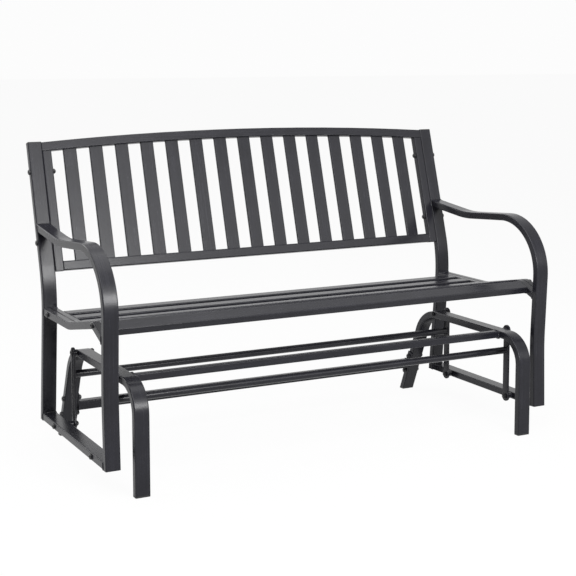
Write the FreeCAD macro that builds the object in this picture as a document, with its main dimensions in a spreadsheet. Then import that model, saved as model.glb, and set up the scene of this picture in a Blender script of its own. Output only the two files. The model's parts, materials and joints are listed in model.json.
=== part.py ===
import FreeCAD, Part
import math
import os

import Sketcher

# Glider bench: a seat frame of bent flat steel tube hangs from four links on a low stand.
#
# Side views are drawn with the horizontal axis running from the front of the stand to the rear
# and the vertical axis up from the floor. Each body then shifts back by half of the bench's
# depth, so the origin lies on the floor at the middle of the bench. +X runs along the bench and
# the bench faces -Y.

# Driving dimensions in millimetres and degrees
SIZES = {
    # Tube stock
    "tube_wide": 38.0,
    "tube_deep": 19.0,
    "tube_wall": 1.2,
    "tube_corner": 3.0,
    "least_corner": 0.3,
    "stretcher_wide": 25.0,
    "bar_diameter": 19.0,
    "trim_extra_length": 12.0,
    "trim_block_length": 90.0,
    # Overall
    "overall_length": 1280.0,
    "overall_depth": 609.0,
    "side_gap": 28.2,
    # Stand
    "stand_rail_z": 262.3,
    "stand_front_bend": 70.0,
    "stand_rear_bend": 98.0,
    "stand_rear_corner": 464.2,
    "rear_leg_angle": 22.8,
    "front_stretcher_y": 101.8,
    "rear_stretcher_z": 88.8,
    "flange_thick": 4.0,
    "flange_long": 78.0,
    "flange_bolt_spread": 52.0,
    "foot_cap_thick": 5.0,
    "cap_plug_long": 14.0,
    "plug_play": 0.15,
    "set_screw_diameter": 11.0,
    "set_screw_drop": 9.0,
    # Pivots and links
    "front_pivot_y": 119.8,
    "pivot_spread": 285.5,
    "pivot_rise": 3.2,
    "link_thick": 5.4,
    "link_wide": 22.0,
    "link_eye": 28.0,
    "short_spacer": 8.0,
    "spacer_diameter": 16.0,
    "side_play": 0.3,
    "crossbar_drop": 56.5,
    # Fasteners
    "bolt_diameter": 8.0,
    "bolt_play": 0.1,
    "pivot_play": 0.08,
    "head_diameter": 14.5,
    "head_thick": 4.5,
    "head_rim": 2.0,
    "head_crown": 9.0,
    "bolt_tip": 1.2,
    "nut_flats": 13.0,
    "nut_thick": 6.5,
    # Seat frame side
    "frame_bottom_z": 68.0,
    "leg_foot_y": 27.7,
    "leg_knee_y": 33.6,
    "leg_knee_z": 246.2,
    "leg_knee_bend": 800.0,
    "arm_corner_y": 17.5,
    "arm_corner_z": 587.2,
    "arm_corner_bend": 143.0,
    "arm_dip_y": 351.0,
    "arm_dip_z": 562.2,
    "arm_dip_bend": 345.0,
    "arm_rise_angle": 6.3,
    "post_foot_y": 515.1,
    "post_knee_z": 416.4,
    "post_lean": 5.7,
    "post_bend": 345.0,
    "back_lean": 16.6,
    "post_upper_long": 398.1,
    "post_cap_thick": 3.5,
    # Seat
    "seat_top_z": 373.6,
    "seat_rise_y": 278.8,
    "seat_rise_bend": 150.0,
    "seat_crest_y": 97.7,
    "seat_crest_z": 400.2,
    "seat_crest_bend": 40.0,
    "seat_nose_angle": 21.8,
    "seat_slat_first": 76.9,
    "seat_slat_pitch": 65.8,
    "seat_slat_count": 6,
    "seat_bolt_front": 94.8,
    "seat_bolt_rear": 441.2,
    # Back
    "back_bottom_height": 52.4,
    "back_crown_height": 421.2,
    "back_arch_radius": 8478.0,
    "back_slat_thick": 7.5,
    "back_slat_wall": 1.0,
    "back_slat_corner": 2.5,
    "back_slat_end_gap": 34.4,
    "back_slat_count": 15,
    "back_bolt_lower_height": 130.5,
    "back_bolt_upper_height": 321.0,
}

doc = FreeCAD.newDocument("GliderBench")
sheet = doc.addObject("Spreadsheet::Sheet", "Sizes")
for row, (alias, number) in enumerate(SIZES.items(), start=1):
    sheet.set(f"A{row}", alias.replace("_", " "))
    sheet.set(f"B{row}", str(number))
    sheet.setAlias(f"B{row}", alias)
doc.recompute()

# Derived positions, each an expression of the driving dimensions
HALF_LENGTH = "(Sizes.overall_length / 2)"
HALF_DEEP = "(Sizes.tube_deep / 2)"
INSIDE_DEEP = "(Sizes.tube_deep - 2 * Sizes.tube_wall)"
INSIDE_WIDE = "(Sizes.tube_wide - 2 * Sizes.tube_wall)"
FRAME_X = "(Sizes.overall_length / 2 - Sizes.tube_wide / 2)"
FRAME_INSIDE_X = "(Sizes.overall_length / 2 - Sizes.tube_wide)"
STAND_OUTSIDE_X = f"({FRAME_INSIDE_X} - Sizes.side_gap)"
STAND_X = f"({STAND_OUTSIDE_X} - Sizes.tube_wide / 2)"
STAND_INSIDE_X = f"({STAND_OUTSIDE_X} - Sizes.tube_wide)"
LINK_INSIDE_X = f"({STAND_OUTSIDE_X} + Sizes.short_spacer)"
LINK_OUTSIDE_X = f"({LINK_INSIDE_X} + Sizes.link_thick + 2 * Sizes.side_play)"
LINK_X = f"(({LINK_INSIDE_X} + {LINK_OUTSIDE_X}) / 2)"
REAR_PIVOT_Y = "(Sizes.front_pivot_y + Sizes.pivot_spread)"
UPPER_PIVOT_Z = "(Sizes.stand_rail_z + Sizes.pivot_rise)"
LOWER_PIVOT_Z = f"(Sizes.frame_bottom_z + {HALF_DEEP})"
BOLT_HOLE = "(Sizes.bolt_diameter / 2 + Sizes.bolt_play)"
POST_KNEE_Y = ("(Sizes.post_foot_y - (Sizes.post_knee_z - Sizes.frame_bottom_z)"
               " * tan(Sizes.post_lean))")
KNEE_REACH = "(Sizes.post_bend * tan((Sizes.post_lean + Sizes.back_lean) / 2))"
KNEE_MIDDLE_Y = (f"({POST_KNEE_Y} + {KNEE_REACH} * sin(Sizes.post_lean)"
                 " + Sizes.post_bend * cos(Sizes.post_lean))")
KNEE_MIDDLE_Z = (f"(Sizes.post_knee_z - {KNEE_REACH} * cos(Sizes.post_lean)"
                 " + Sizes.post_bend * sin(Sizes.post_lean))")
POST_TOP_Y = f"({POST_KNEE_Y} + Sizes.post_upper_long * sin(Sizes.back_lean))"
POST_TOP_Z = "(Sizes.post_knee_z + Sizes.post_upper_long * cos(Sizes.back_lean))"
LEG_LEAN = ("(atan((Sizes.leg_knee_y - Sizes.leg_foot_y)"
            " / (Sizes.leg_knee_z - Sizes.frame_bottom_z)) / 1deg)")
SHIN_LEAN = ("(atan((Sizes.arm_corner_y - Sizes.leg_knee_y)"
             " / (Sizes.arm_corner_z - Sizes.leg_knee_z)) / 1deg)")
SEAT_REAR_Z = f"(Sizes.seat_top_z - {HALF_DEEP})"
SEAT_RISE = (f"((Sizes.seat_crest_z - {SEAT_REAR_Z})"
             " / (Sizes.seat_rise_y - Sizes.seat_crest_y))")
BACK_SLAT_PITCH = (f"((2 * ({FRAME_INSIDE_X} - Sizes.stretcher_wide - Sizes.back_slat_end_gap)"
                   " - Sizes.tube_wide) / (Sizes.back_slat_count - 1))")
SHIFT_Y = "(-Sizes.overall_depth / 2)"
THROUGH = "(4 * Sizes.trim_block_length)"


def value(expression):
    """Gives the number that an expression has with the present sizes."""
    result = sheet.evalExpression(expression)
    return float(getattr(result, "Value", result))


def rear_leg_y(height):
    """Middle line of the stand's rear leg at a height, as an expression."""
    return f"(Sizes.stand_rear_corner + (Sizes.stand_rail_z - {height}) * tan(Sizes.rear_leg_angle))"


def post_lower_y(height):
    """Middle line of the post below its knee at a height, as an expression."""
    return f"(Sizes.post_foot_y - ({height} - Sizes.frame_bottom_z) * tan(Sizes.post_lean))"


def post_upper_y(height):
    """Middle line of the post above its knee at a height, as an expression."""
    return f"({POST_KNEE_Y} + ({height} - Sizes.post_knee_z) * tan(Sizes.back_lean))"


def shin_y(height):
    """Middle line of the front leg above its knee at a height, as an expression."""
    return f"(Sizes.leg_knee_y + ({height} - Sizes.leg_knee_z) * tan({SHIN_LEAN}))"


def knee_face_y(height):
    """Front face of the post within its bend at a height, as an expression."""
    return (f"({KNEE_MIDDLE_Y} - sqrt((Sizes.post_bend + {HALF_DEEP}) ^ 2"
            f" - ({height} - {KNEE_MIDDLE_Z}) ^ 2))")


def knee_face_angle(height):
    """Angle of the post's front face within its bend at a height, as an expression."""
    return f"(asin(({KNEE_MIDDLE_Z} - {height}) / (Sizes.post_bend + {HALF_DEEP})) / 1deg)"


def arch_height(across, below="0"):
    """Height up the back of the top rail's arch, as an expression.

    The first distance is from the middle of the bench and the second is down from the rail's
    upper edge.
    """
    return (f"(Sizes.back_crown_height - Sizes.back_arch_radius"
            f" + sqrt((Sizes.back_arch_radius - {below}) ^ 2 - ({across}) ^ 2))")


def arch_slope(across):
    """Angle that the arch falls away from level, at a distance from the middle."""
    return f"(asin(({across}) / Sizes.back_arch_radius) / 1deg)"


def on_back(height):
    """Side view position of a point on the middle line of the sloping post."""
    return (f"({POST_KNEE_Y} + {height} * sin(Sizes.back_lean))",
            f"(Sizes.post_knee_z + {height} * cos(Sizes.back_lean))")


# Sketches
def add_body(label):
    """A new body whose label names the piece."""
    body = doc.addObject("PartDesign::Body", label)
    body.Label = label
    return body


def add_sketch(body, name, plane, offset=("0", "0", "0"), turn=None):
    """A sketch on one of the body's own origin planes.

    The offset moves it along its own axes and turn is an axis and an angle expression.
    """
    sketch = body.newObject("Sketcher::SketchObject", f"{body.Name}_{name}")
    support = next(item for item in body.Origin.OriginFeatures if item.Role == plane)
    sketch.AttachmentSupport = (support, [""])
    sketch.MapMode = "FlatFace"
    if turn:
        axis, angle = turn
        sketch.AttachmentOffset = FreeCAD.Placement(
            FreeCAD.Vector(), FreeCAD.Rotation(FreeCAD.Vector(*axis), 1.0))
        sketch.setExpression("AttachmentOffset.Rotation.Angle", angle)
    for direction, distance in zip("xyz", offset):
        sketch.setExpression(f"AttachmentOffset.Base.{direction}", distance)
    return sketch


def bind(sketch, kind, *references, size):
    """Adds a dimension to a sketch and binds it to an expression."""
    index = sketch.addConstraint(Sketcher.Constraint(kind, *references, value(size)))
    sketch.setExpression(f"Constraints[{index}]", size)


def pin_point(sketch, geometry, end, across, up):
    """Fixes a point at a distance from the sketch's origin."""
    bind(sketch, "DistanceX", -1, 1, geometry, end, size=across)
    bind(sketch, "DistanceY", -1, 1, geometry, end, size=up)


def add_circle(sketch, radius, across="0", up="0"):
    """A circle with its middle fixed from the sketch's origin."""
    middle = FreeCAD.Vector(value(across), value(up), 0)
    circle = sketch.addGeometry(Part.Circle(middle, FreeCAD.Vector(0, 0, 1), value(radius)))
    bind(sketch, "Radius", circle, size=radius)
    pin_point(sketch, circle, 3, across, up)


def add_rectangle(sketch, left, right, low, high):
    """A rectangle between four distances from the sketch's origin."""
    x_low, x_high, y_low, y_high = (value(edge) for edge in (left, right, low, high))
    corners = [(x_low, y_low), (x_high, y_low), (x_high, y_high), (x_low, y_high)]
    points = [FreeCAD.Vector(x, y, 0) for x, y in corners]
    lines = [sketch.addGeometry(Part.LineSegment(points[i], points[(i + 1) % 4])) for i in range(4)]
    for i in range(4):
        sketch.addConstraint(Sketcher.Constraint("Coincident", lines[i], 2, lines[(i + 1) % 4], 1))
        sketch.addConstraint(Sketcher.Constraint(("Horizontal", "Vertical")[i % 2], lines[i]))
    pin_point(sketch, lines[0], 1, left, low)
    pin_point(sketch, lines[2], 1, right, high)


def add_rounded_rectangle(sketch, wide, deep, corner):
    """A rectangle with round corners about the sketch's origin."""
    half_wide = value(wide) / 2
    half_deep = value(deep) / 2
    radius = value(corner)
    signs = [(1, 1), (-1, 1), (-1, -1), (1, -1)]
    arcs = []
    for i, (side_x, side_y) in enumerate(signs):
        middle = FreeCAD.Vector(side_x * (half_wide - radius), side_y * (half_deep - radius), 0)
        circle = Part.Circle(middle, FreeCAD.Vector(0, 0, 1), radius)
        arcs.append(sketch.addGeometry(
            Part.ArcOfCircle(circle, i * math.pi / 2, (i + 1) * math.pi / 2)))
    for i in range(4):
        start = sketch.getPoint(arcs[i], 2)
        finish = sketch.getPoint(arcs[(i + 1) % 4], 1)
        line = sketch.addGeometry(Part.LineSegment(start, finish))
        sketch.addConstraint(Sketcher.Constraint("Tangent", arcs[i], 2, line, 1))
        sketch.addConstraint(Sketcher.Constraint("Tangent", line, 2, arcs[(i + 1) % 4], 1))
        sketch.addConstraint(Sketcher.Constraint(("Horizontal", "Vertical")[i % 2], line))
    bind(sketch, "Radius", arcs[0], size=corner)
    for arc in arcs[1:]:
        sketch.addConstraint(Sketcher.Constraint("Equal", arcs[0], arc))
    bind(sketch, "DistanceX", arcs[1], 2, arcs[0], 1, size=wide)
    bind(sketch, "DistanceY", arcs[3], 1, arcs[0], 2, size=deep)
    pin_point(sketch, arcs[0], 3, f"({wide}) / 2 - ({corner})", f"({deep}) / 2 - ({corner})")


def add_tube_section(sketch, wide, deep, wall="Sizes.tube_wall", corner="Sizes.tube_corner"):
    """The section of a hollow tube: its outer outline and its bore."""
    add_rounded_rectangle(sketch, wide, deep, corner)
    add_rounded_rectangle(sketch, f"{wide} - 2 * {wall}", f"{deep} - 2 * {wall}",
                          f"max(Sizes.least_corner; {corner} - {wall})")


def add_path(sketch, corners, bends):
    """Straight runs through the corners, with an arc of the given radius at each inner corner."""
    points = [FreeCAD.Vector(value(across), value(up), 0) for across, up in corners]
    starts = [points[0]]
    arcs = []
    for i, bend in enumerate(bends, start=1):
        back = (points[i - 1] - points[i]).normalize()
        ahead = (points[i + 1] - points[i]).normalize()
        half_turn = (math.pi - back.getAngle(ahead)) / 2
        reach = value(bend) * math.tan(half_turn)
        entry = points[i] + back * reach
        leave = points[i] + ahead * reach
        bulge = points[i] + (back + ahead).normalize() * value(bend) * (1 / math.cos(half_turn) - 1)
        arcs.append((entry, Part.Arc(entry, bulge, leave)))
        starts.append(leave)
    finishes = [entry for entry, _ in arcs] + [points[-1]]
    lines = [sketch.addGeometry(Part.LineSegment(a, b)) for a, b in zip(starts, finishes)]
    pin_point(sketch, lines[0], 1, *corners[0])
    pin_point(sketch, lines[-1], 2, *corners[-1])
    for i, (entry, arc) in enumerate(arcs):
        index = sketch.addGeometry(arc)
        begins_first = sketch.getPoint(index, 1).distanceToPoint(entry) < 0.001
        first, second = (1, 2) if begins_first else (2, 1)
        sketch.addConstraint(Sketcher.Constraint("Tangent", lines[i], 2, index, first))
        sketch.addConstraint(Sketcher.Constraint("Tangent", index, second, lines[i + 1], 1))
        bind(sketch, "Radius", index, size=bends[i])
        corner = sketch.addGeometry(Part.Point(points[i + 1]), True)
        sketch.addConstraint(Sketcher.Constraint("PointOnObject", corner, 1, lines[i]))
        sketch.addConstraint(Sketcher.Constraint("PointOnObject", corner, 1, lines[i + 1]))
        pin_point(sketch, corner, 1, *corners[i + 1])


# Features
def sweep(body, section, path):
    """Carries a section along a path."""
    doc.recompute()
    pipe = body.newObject("PartDesign::AdditivePipe", f"{body.Name}_Sweep")
    pipe.Profile = section
    pipe.Spine = (path, [f"Edge{i + 1}" for i in range(len(path.Shape.Edges))])
    doc.recompute()


def pad(body, section, long, middle=False, backwards=False):
    """Makes a section solid over a length, on one side of the sketch or about its middle."""
    feature = body.newObject("PartDesign::Pad", f"{body.Name}_Pad")
    feature.Profile = section
    feature.setExpression("Length", long)
    feature.Reversed = backwards
    if middle:
        feature.SideType = "Symmetric"


def pocket(body, section, long, middle=True, backwards=False):
    """Cuts a section out over a length."""
    feature = body.newObject("PartDesign::Pocket", f"{body.Name}_Pocket")
    feature.Profile = section
    feature.setExpression("Length", long)
    feature.Reversed = backwards
    if middle:
        feature.SideType = "Symmetric"


def trim(body, name, plane, across, up, toward):
    """Cuts away what lies beyond a point of the plane in a direction, given as an angle."""
    sketch = add_sketch(body, name, plane, offset=(across, up, "0"), turn=((0, 0, 1), toward))
    add_rectangle(sketch, "0", "Sizes.trim_block_length",
                  "-Sizes.trim_block_length", "Sizes.trim_block_length")
    pocket(body, sketch, THROUGH)


def drill(body, name, across, up, radius=BOLT_HOLE, plane="YZ_Plane"):
    """Drills through a body, square to the plane."""
    sketch = add_sketch(body, name, plane)
    add_circle(sketch, radius, across, up)
    pocket(body, sketch, THROUGH)


def place(piece, x="0", y=SHIFT_Y, z="0"):
    """Puts a piece where its own origin belongs on the bench."""
    for direction, distance in zip("xyz", (x, y, z)):
        piece.setExpression(f"Placement.Base.{direction}", distance)


def place_on_back(piece, x="0"):
    """Puts a piece whose Z axis runs up the slope of the back, from the knee of the post."""
    piece.Placement = FreeCAD.Placement(
        FreeCAD.Vector(), FreeCAD.Rotation(FreeCAD.Vector(-1, 0, 0), 1.0))
    piece.setExpression("Placement.Rotation.Angle", "Sizes.back_lean")
    place(piece, x, f"{SHIFT_Y} + {POST_KNEE_Y}", "Sizes.post_knee_z")


def bent_tube(label, x, corners, bends, start_lean, wide="Sizes.tube_wide", deep="Sizes.tube_deep"):
    """A tube that follows a path in side view; start_lean is its first run's angle from upright."""
    body = add_body(label)
    path = add_sketch(body, "Path", "YZ_Plane")
    add_path(path, corners, bends)
    start_y, start_z = corners[0]
    section = add_sketch(body, "Section", "XY_Plane", offset=("0", start_y, start_z),
                         turn=((1, 0, 0), f"-({start_lean})"))
    add_tube_section(section, wide, deep)
    sweep(body, section, path)
    place(body, x)
    return body


def cross_tube(label, long, y, z, tilt="0", wide="Sizes.tube_wide", deep="Sizes.tube_deep"):
    """A tube along the bench, whose section leans by an angle in side view."""
    body = add_body(label)
    section = add_sketch(body, "Section", "YZ_Plane", offset=(y, z, "0"), turn=((0, 0, 1), tilt))
    add_tube_section(section, wide, deep)
    pad(body, section, long, middle=True)
    place(body)
    return body


def group(label, members):
    """Joins identical small pieces into one node, each still a solid of its own."""
    compound = doc.addObject("Part::Compound", label)
    compound.Label = label
    compound.Links = members
    return compound


def foot_cap(label, x, middle_y, lean):
    """A cap with a level foot under a leg, and a plug up inside the tube."""
    body = add_body(label)
    turn = ((1, 0, 0), lean)
    shoe = add_sketch(body, "Shoe", "XY_Plane", offset=("0", middle_y, "0"), turn=turn)
    add_rounded_rectangle(shoe, "Sizes.tube_wide", "Sizes.tube_deep", "Sizes.tube_corner")
    pad(body, shoe, "4 * Sizes.trim_extra_length", middle=True)
    trim(body, "Top", "YZ_Plane", middle_y, "Sizes.foot_cap_thick", "90")
    plug = add_sketch(body, "Plug", "XY_Plane", offset=("0", middle_y, "0"), turn=turn)
    add_plug_section(plug)
    pad(body, plug, "Sizes.foot_cap_thick + Sizes.cap_plug_long")
    trim(body, "Sole", "YZ_Plane", middle_y, "0", "-90")
    place(body, x)
    return body


def end_plug(label, x, middle_y, lean):
    """A plug inside the open lower end of a leg or post, flush with its end."""
    body = add_body(label)
    section = add_sketch(body, "Section", "XY_Plane",
                         offset=("0", middle_y, "Sizes.frame_bottom_z"), turn=((1, 0, 0), lean))
    add_plug_section(section)
    pad(body, section, "2 * Sizes.cap_plug_long", middle=True)
    trim(body, "End", "YZ_Plane", middle_y, "Sizes.frame_bottom_z", "-90")
    place(body, x)
    return body


def add_plug_section(sketch):
    """The section of a plug that fits a tube's bore with a small play."""
    add_rounded_rectangle(sketch, f"{INSIDE_WIDE} - 2 * Sizes.plug_play",
                          f"{INSIDE_DEEP} - 2 * Sizes.plug_play",
                          "max(Sizes.least_corner; Sizes.tube_corner - Sizes.tube_wall)")


def washer(label, x, y, z, long):
    """A round spacer about a bolt."""
    body = add_body(label)
    section = add_sketch(body, "Section", "YZ_Plane")
    add_circle(section, "Sizes.spacer_diameter / 2", y, z)
    add_circle(section, BOLT_HOLE, y, z)
    pad(body, section, long, middle=True)
    place(body, x)
    return body


def add_outline(sketch, corners):
    """A closed outline of straight lines with every corner fixed."""
    points = [FreeCAD.Vector(value(across), value(up), 0) for across, up in corners]
    lines = [sketch.addGeometry(Part.LineSegment(points[i - 1], points[i]))
             for i in range(len(points))]
    for i, line in enumerate(lines):
        sketch.addConstraint(Sketcher.Constraint("Coincident", lines[i - 1], 2, line, 1))
        pin_point(sketch, line, 2, *corners[i])


def nut(label, x, y, z):
    """A hexagon nut about a bolt."""
    body = add_body(label)
    section = add_sketch(body, "Section", "YZ_Plane", offset=(y, z, "0"))
    corner = "Sizes.nut_flats / 2 / cos(30)"
    add_outline(section, [(f"{corner} * cos({60 * i})", f"{corner} * sin({60 * i})")
                          for i in range(6)])
    add_circle(section, BOLT_HOLE)
    pad(body, section, "Sizes.nut_thick", middle=True)
    place(body, x)
    return body


def bolt(label, side, head_x, y, z, long):
    """A bolt with a low round head that bears on head_x and points to the middle of the bench."""
    body = add_body(label)
    section = add_sketch(body, "Section", "XY_Plane")
    add_outline(section, [
        ("-Sizes.head_thick", "0"),
        ("-Sizes.head_thick", "Sizes.head_crown / 2"),
        ("-Sizes.head_rim", "Sizes.head_diameter / 2"),
        ("0", "Sizes.head_diameter / 2"),
        ("0", "Sizes.bolt_diameter / 2"),
        (long, "Sizes.bolt_diameter / 2"),
        (long, "0"),
    ])
    doc.recompute()
    turned = body.newObject("PartDesign::Revolution", f"{label}_Turned")
    turned.Profile = section
    turned.ReferenceAxis = (section, ["H_Axis"])
    turned.Angle = 360
    half_turn = 180 if side == "+" else 0
    body.Placement.Rotation = FreeCAD.Rotation(FreeCAD.Vector(0, 0, 1), half_turn)
    place(body, f"{side}{head_x}", f"{y} + {SHIFT_Y}", z)
    return body


def fasteners(label, points, head_x, grip, nut_x=None):
    """Bolts, and nuts if they have any, at the same points of both ends of the bench."""
    members = []
    for name, side in ENDS:
        for i, (y, z) in enumerate(points, start=1):
            long = f"({grip} + Sizes.bolt_tip)"
            members.append(bolt(f"{label}_{name}_{i}", side, head_x, y, z, long))
            if nut_x:
                members.append(nut(f"{label}_nut_{name}_{i}", f"{side}{nut_x}", y, z))
    return group(label, members)


def link(label, x, middle_y):
    """A flat link with a round eye at each pivot."""
    body = add_body(label)
    shaft = add_sketch(body, "Shaft", "YZ_Plane")
    add_rectangle(shaft, f"{middle_y} - Sizes.link_wide / 2", f"{middle_y} + Sizes.link_wide / 2",
                  LOWER_PIVOT_Z, UPPER_PIVOT_Z)
    pad(body, shaft, "Sizes.link_thick", middle=True)
    for name, height in (("Upper", UPPER_PIVOT_Z), ("Lower", LOWER_PIVOT_Z)):
        eye = add_sketch(body, f"{name}Eye", "YZ_Plane")
        add_circle(eye, "Sizes.link_eye / 2", middle_y, height)
        pad(body, eye, "Sizes.link_thick", middle=True)
        drill(body, f"{name}Bore", middle_y, height, "Sizes.bolt_diameter / 2 + Sizes.pivot_play")
    place(body, x)
    return body


def crossbar(label, y):
    """A round tube between a pair of links."""
    body = add_body(label)
    section = add_sketch(body, "Section", "YZ_Plane")
    height = f"({UPPER_PIVOT_Z} - Sizes.crossbar_drop)"
    add_circle(section, "Sizes.bar_diameter / 2", y, height)
    add_circle(section, "Sizes.bar_diameter / 2 - Sizes.tube_wall", y, height)
    pad(body, section, f"2 * ({LINK_INSIDE_X} + Sizes.side_play)", middle=True)
    place(body)
    return body


ENDS = (("left", "-"), ("right", "+"))
FRONT_PIVOT = ("Sizes.front_pivot_y", UPPER_PIVOT_Z)
REAR_PIVOT = (REAR_PIVOT_Y, UPPER_PIVOT_Z)
STRETCHER_Y = rear_leg_y("Sizes.rear_stretcher_z")
FLANGE_BOLTS = [(f"({STRETCHER_Y} {up} Sizes.flange_bolt_spread / 2 * sin(Sizes.rear_leg_angle))",
                 f"(Sizes.rear_stretcher_z {down} Sizes.flange_bolt_spread / 2"
                 " * cos(Sizes.rear_leg_angle))")
                for up, down in (("-", "+"), ("+", "-"))]
LOWER_PIVOTS = [("Sizes.front_pivot_y", LOWER_PIVOT_Z), (REAR_PIVOT_Y, LOWER_PIVOT_Z)]
BACK_BOLTS = [on_back("Sizes.back_bolt_lower_height"), on_back("Sizes.back_bolt_upper_height")]


# Stand
def stand_side(label, x):
    """One bent tube: upright front leg, level rail and slanted rear leg."""
    below = "(-Sizes.trim_extra_length)"
    body = bent_tube(label, x, [
        (HALF_DEEP, "Sizes.foot_cap_thick"),
        (HALF_DEEP, "Sizes.stand_rail_z"),
        ("Sizes.stand_rear_corner", "Sizes.stand_rail_z"),
        (rear_leg_y(below), below),
    ], ["Sizes.stand_front_bend", "Sizes.stand_rear_bend"], "0")
    trim(body, "RearFoot", "YZ_Plane", rear_leg_y("Sizes.foot_cap_thick"),
         "Sizes.foot_cap_thick", "-90")
    for i, (y, z) in enumerate([FRONT_PIVOT, REAR_PIVOT, *FLANGE_BOLTS]):
        drill(body, f"Hole{i}", y, z)
    return body


def stretcher_flange(label, x):
    """An end plate of the rear stretcher, along the inner face of the rear leg."""
    body = add_body(label)
    section = add_sketch(body, "Section", "YZ_Plane",
                         offset=(STRETCHER_Y, "Sizes.rear_stretcher_z", "0"),
                         turn=((0, 0, 1), "Sizes.rear_leg_angle"))
    add_rectangle(section, f"-{HALF_DEEP}", HALF_DEEP,
                  "-Sizes.flange_long / 2", "Sizes.flange_long / 2")
    pad(body, section, "Sizes.flange_thick", middle=True)
    for i, (y, z) in enumerate(FLANGE_BOLTS):
        drill(body, f"Hole{i}", y, z)
    place(body, x)
    return body


def set_screw(label, side):
    """A short round screw end under the stand's rail at the front pivot."""
    screw = doc.addObject("Part::Cylinder", label)
    screw.setExpression("Radius", "Sizes.set_screw_diameter / 2")
    screw.setExpression("Height", "Sizes.set_screw_drop")
    place(screw, f"{side}{STAND_X}", f"Sizes.front_pivot_y + {SHIFT_Y}",
          f"Sizes.stand_rail_z - {HALF_DEEP} - Sizes.set_screw_drop")
    return screw


pieces = []
for name, side in ENDS:
    pieces.append(stand_side(f"stand_side_{name}", f"{side}{STAND_X}"))
    pieces.append(foot_cap(f"front_foot_cap_{name}", f"{side}{STAND_X}", HALF_DEEP, "0"))
    pieces.append(foot_cap(f"rear_foot_cap_{name}", f"{side}{STAND_X}", rear_leg_y("0"),
                           "Sizes.rear_leg_angle"))
pieces.append(cross_tube("front_stretcher", f"2 * {STAND_INSIDE_X}", "Sizes.front_stretcher_y",
                         "Sizes.stand_rail_z", wide="Sizes.tube_deep"))
pieces.append(cross_tube("rear_stretcher", f"2 * ({STAND_INSIDE_X} - Sizes.flange_thick)",
                         STRETCHER_Y, "Sizes.rear_stretcher_z",
                         wide="Sizes.stretcher_wide", deep="Sizes.stretcher_wide"))
pieces.append(group("stretcher_flanges", [
    stretcher_flange(f"flange_{name}", f"{side}({STAND_INSIDE_X} - Sizes.flange_thick / 2)")
    for name, side in ENDS]))
pieces.append(fasteners("stretcher_bolts", FLANGE_BOLTS, STAND_OUTSIDE_X,
                        "(Sizes.tube_wide + Sizes.flange_thick + Sizes.nut_thick)",
                        f"({STAND_INSIDE_X} - Sizes.flange_thick - Sizes.nut_thick / 2)"))
pieces.append(fasteners("upper_pivot_bolts", [FRONT_PIVOT, REAR_PIVOT], LINK_OUTSIDE_X,
                        f"({LINK_OUTSIDE_X} - {STAND_INSIDE_X} + Sizes.nut_thick)",
                        f"({STAND_INSIDE_X} - Sizes.nut_thick / 2)"))
pieces.append(group("upper_spacers", [
    washer(f"upper_spacer_{name}_{i}", f"{side}({STAND_OUTSIDE_X} + {LINK_INSIDE_X}) / 2", y, z,
           "Sizes.short_spacer")
    for name, side in ENDS for i, (y, z) in enumerate([FRONT_PIVOT, REAR_PIVOT])]))
pieces.append(group("rail_set_screws", [set_screw(f"set_screw_{name}", side)
                                        for name, side in ENDS]))

# Swings
for end, y in (("front", "Sizes.front_pivot_y"), ("rear", REAR_PIVOT_Y)):
    for name, side in ENDS:
        pieces.append(link(f"{end}_link_{name}", f"{side}{LINK_X}", y))
    pieces.append(crossbar(f"{end}_crossbar", y))


# Seat frame
def post(label, x):
    """A rear post, kneed at the height of the seat."""
    below = "(Sizes.frame_bottom_z - Sizes.trim_extra_length)"
    body = bent_tube(label, x, [
        (post_lower_y(below), below),
        (POST_KNEE_Y, "Sizes.post_knee_z"),
        (POST_TOP_Y, POST_TOP_Z),
    ], ["Sizes.post_bend"], "-Sizes.post_lean")
    trim(body, "Foot", "YZ_Plane", "Sizes.post_foot_y", "Sizes.frame_bottom_z", "-90")
    for i, (y, z) in enumerate(BACK_BOLTS):
        drill(body, f"Hole{i}", y, z)
    return body


def arm(label, x):
    """A front leg that bends over into the arm and ends on the post."""
    below = "(Sizes.frame_bottom_z - Sizes.trim_extra_length)"
    leg_below_y = f"(Sizes.leg_foot_y - Sizes.trim_extra_length * tan({LEG_LEAN}))"
    end_y = post_upper_y("Sizes.arm_dip_z")
    end_z = f"(Sizes.arm_dip_z + ({end_y} - Sizes.arm_dip_y) * tan(Sizes.arm_rise_angle))"
    body = bent_tube(label, x, [
        (leg_below_y, below),
        ("Sizes.leg_knee_y", "Sizes.leg_knee_z"),
        ("Sizes.arm_corner_y", "Sizes.arm_corner_z"),
        ("Sizes.arm_dip_y", "Sizes.arm_dip_z"),
        (end_y, end_z),
    ], ["Sizes.leg_knee_bend", "Sizes.arm_corner_bend", "Sizes.arm_dip_bend"], LEG_LEAN)
    trim(body, "Foot", "YZ_Plane", "Sizes.leg_foot_y", "Sizes.frame_bottom_z", "-90")
    trim(body, "PostEnd", "YZ_Plane",
         f"({end_y} - {HALF_DEEP} / cos(Sizes.back_lean))", "Sizes.arm_dip_z", "-Sizes.back_lean")
    return body


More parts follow.
